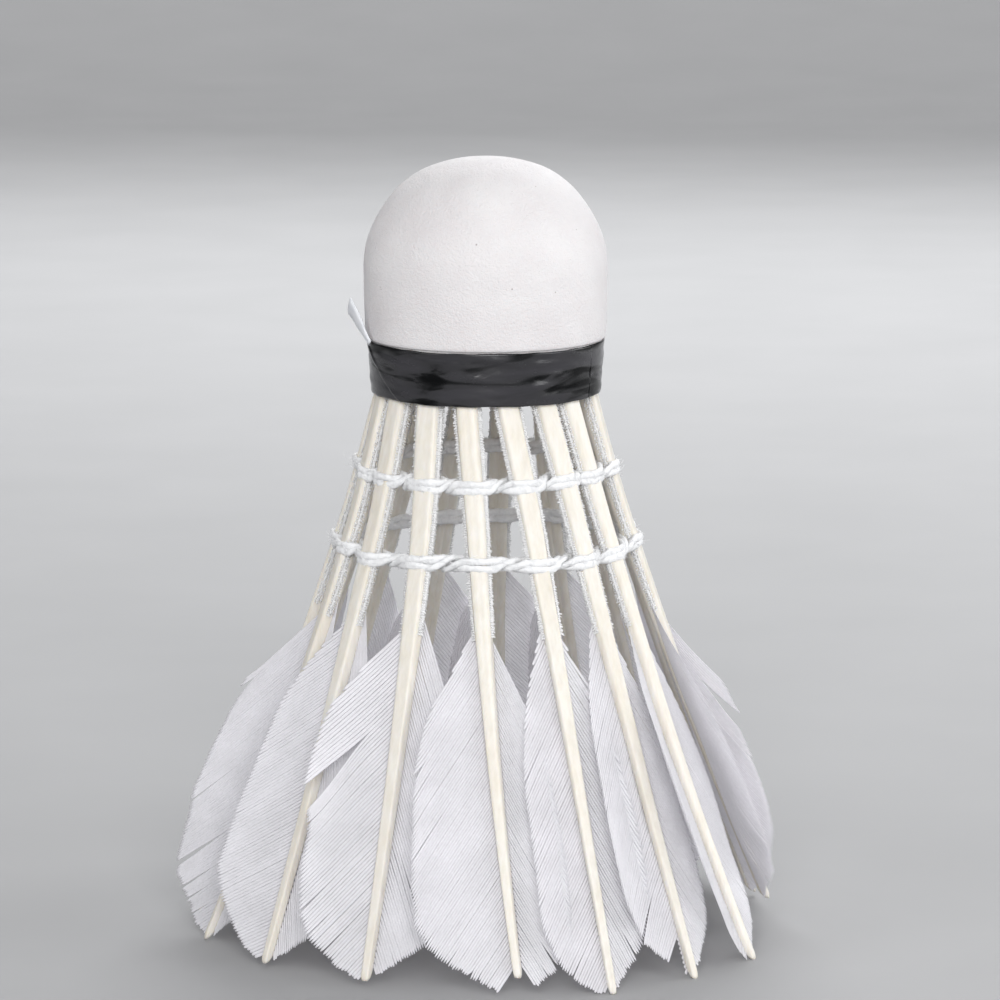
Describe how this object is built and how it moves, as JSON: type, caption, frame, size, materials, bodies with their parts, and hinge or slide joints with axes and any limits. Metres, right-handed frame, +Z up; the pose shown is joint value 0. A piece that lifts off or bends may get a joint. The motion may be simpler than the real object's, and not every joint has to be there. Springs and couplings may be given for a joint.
{
  "type": "badminton shuttlecock",
  "caption": "Feather shuttlecock: a covered cork nose with a flaring skirt of overlapping feathers bound by thread rings, made to be struck by a badminton racket.",
  "frame": {"origin": "on the axis of the skirt, in the plane of the feather tips the shuttlecock stands on, which is the bottom centre of its box", "axes": "+Z up along the axis towards the cork nose; the side seen first faces -Y, +X to that viewer's right"},
  "size_m": [0.0639, 0.0638, 0.0837],
  "materials": {
    "cork": "matt",
    "cover_skin": "matt",
    "black_tape": "gloss",
    "tape_underside": "matt",
    "glue": "satin",
    "thread": "matt",
    "feather_shaft": "satin",
    "feather_web": "satin"
  },
  "bodies": {
    "root": {"cork_core": "cork", "cork_cover": "cover_skin", "tape_band": "black_tape", "tape_end_tab": "tape_underside", "socket_glue": "glue", "upper_thread": "thread", "lower_thread": "thread", "quill_01": "feather_shaft", "quill_02": "feather_shaft", "quill_03": "feather_shaft", "quill_04": "feather_shaft", "quill_05": "feather_shaft", "quill_06": "feather_shaft", "quill_07": "feather_shaft", "quill_08": "feather_shaft", "quill_09": "feather_shaft", "quill_10": "feather_shaft", "quill_11": "feather_shaft", "quill_12": "feather_shaft", "quill_13": "feather_shaft", "quill_14": "feather_shaft", "quill_15": "feather_shaft", "quill_16": "feather_shaft", "vane_01": "feather_web", "vane_02": "feather_web", "vane_03": "feather_web", "vane_04": "feather_web", "vane_05": "feather_web", "vane_06": "feather_web", "vane_07": "feather_web", "vane_08": "feather_web", "vane_09": "feather_web", "vane_10": "feather_web", "vane_11": "feather_web", "vane_12": "feather_web", "vane_13": "feather_web", "vane_14": "feather_web", "vane_15": "feather_web", "vane_16": "feather_web"}
  },
  "joints": []
}
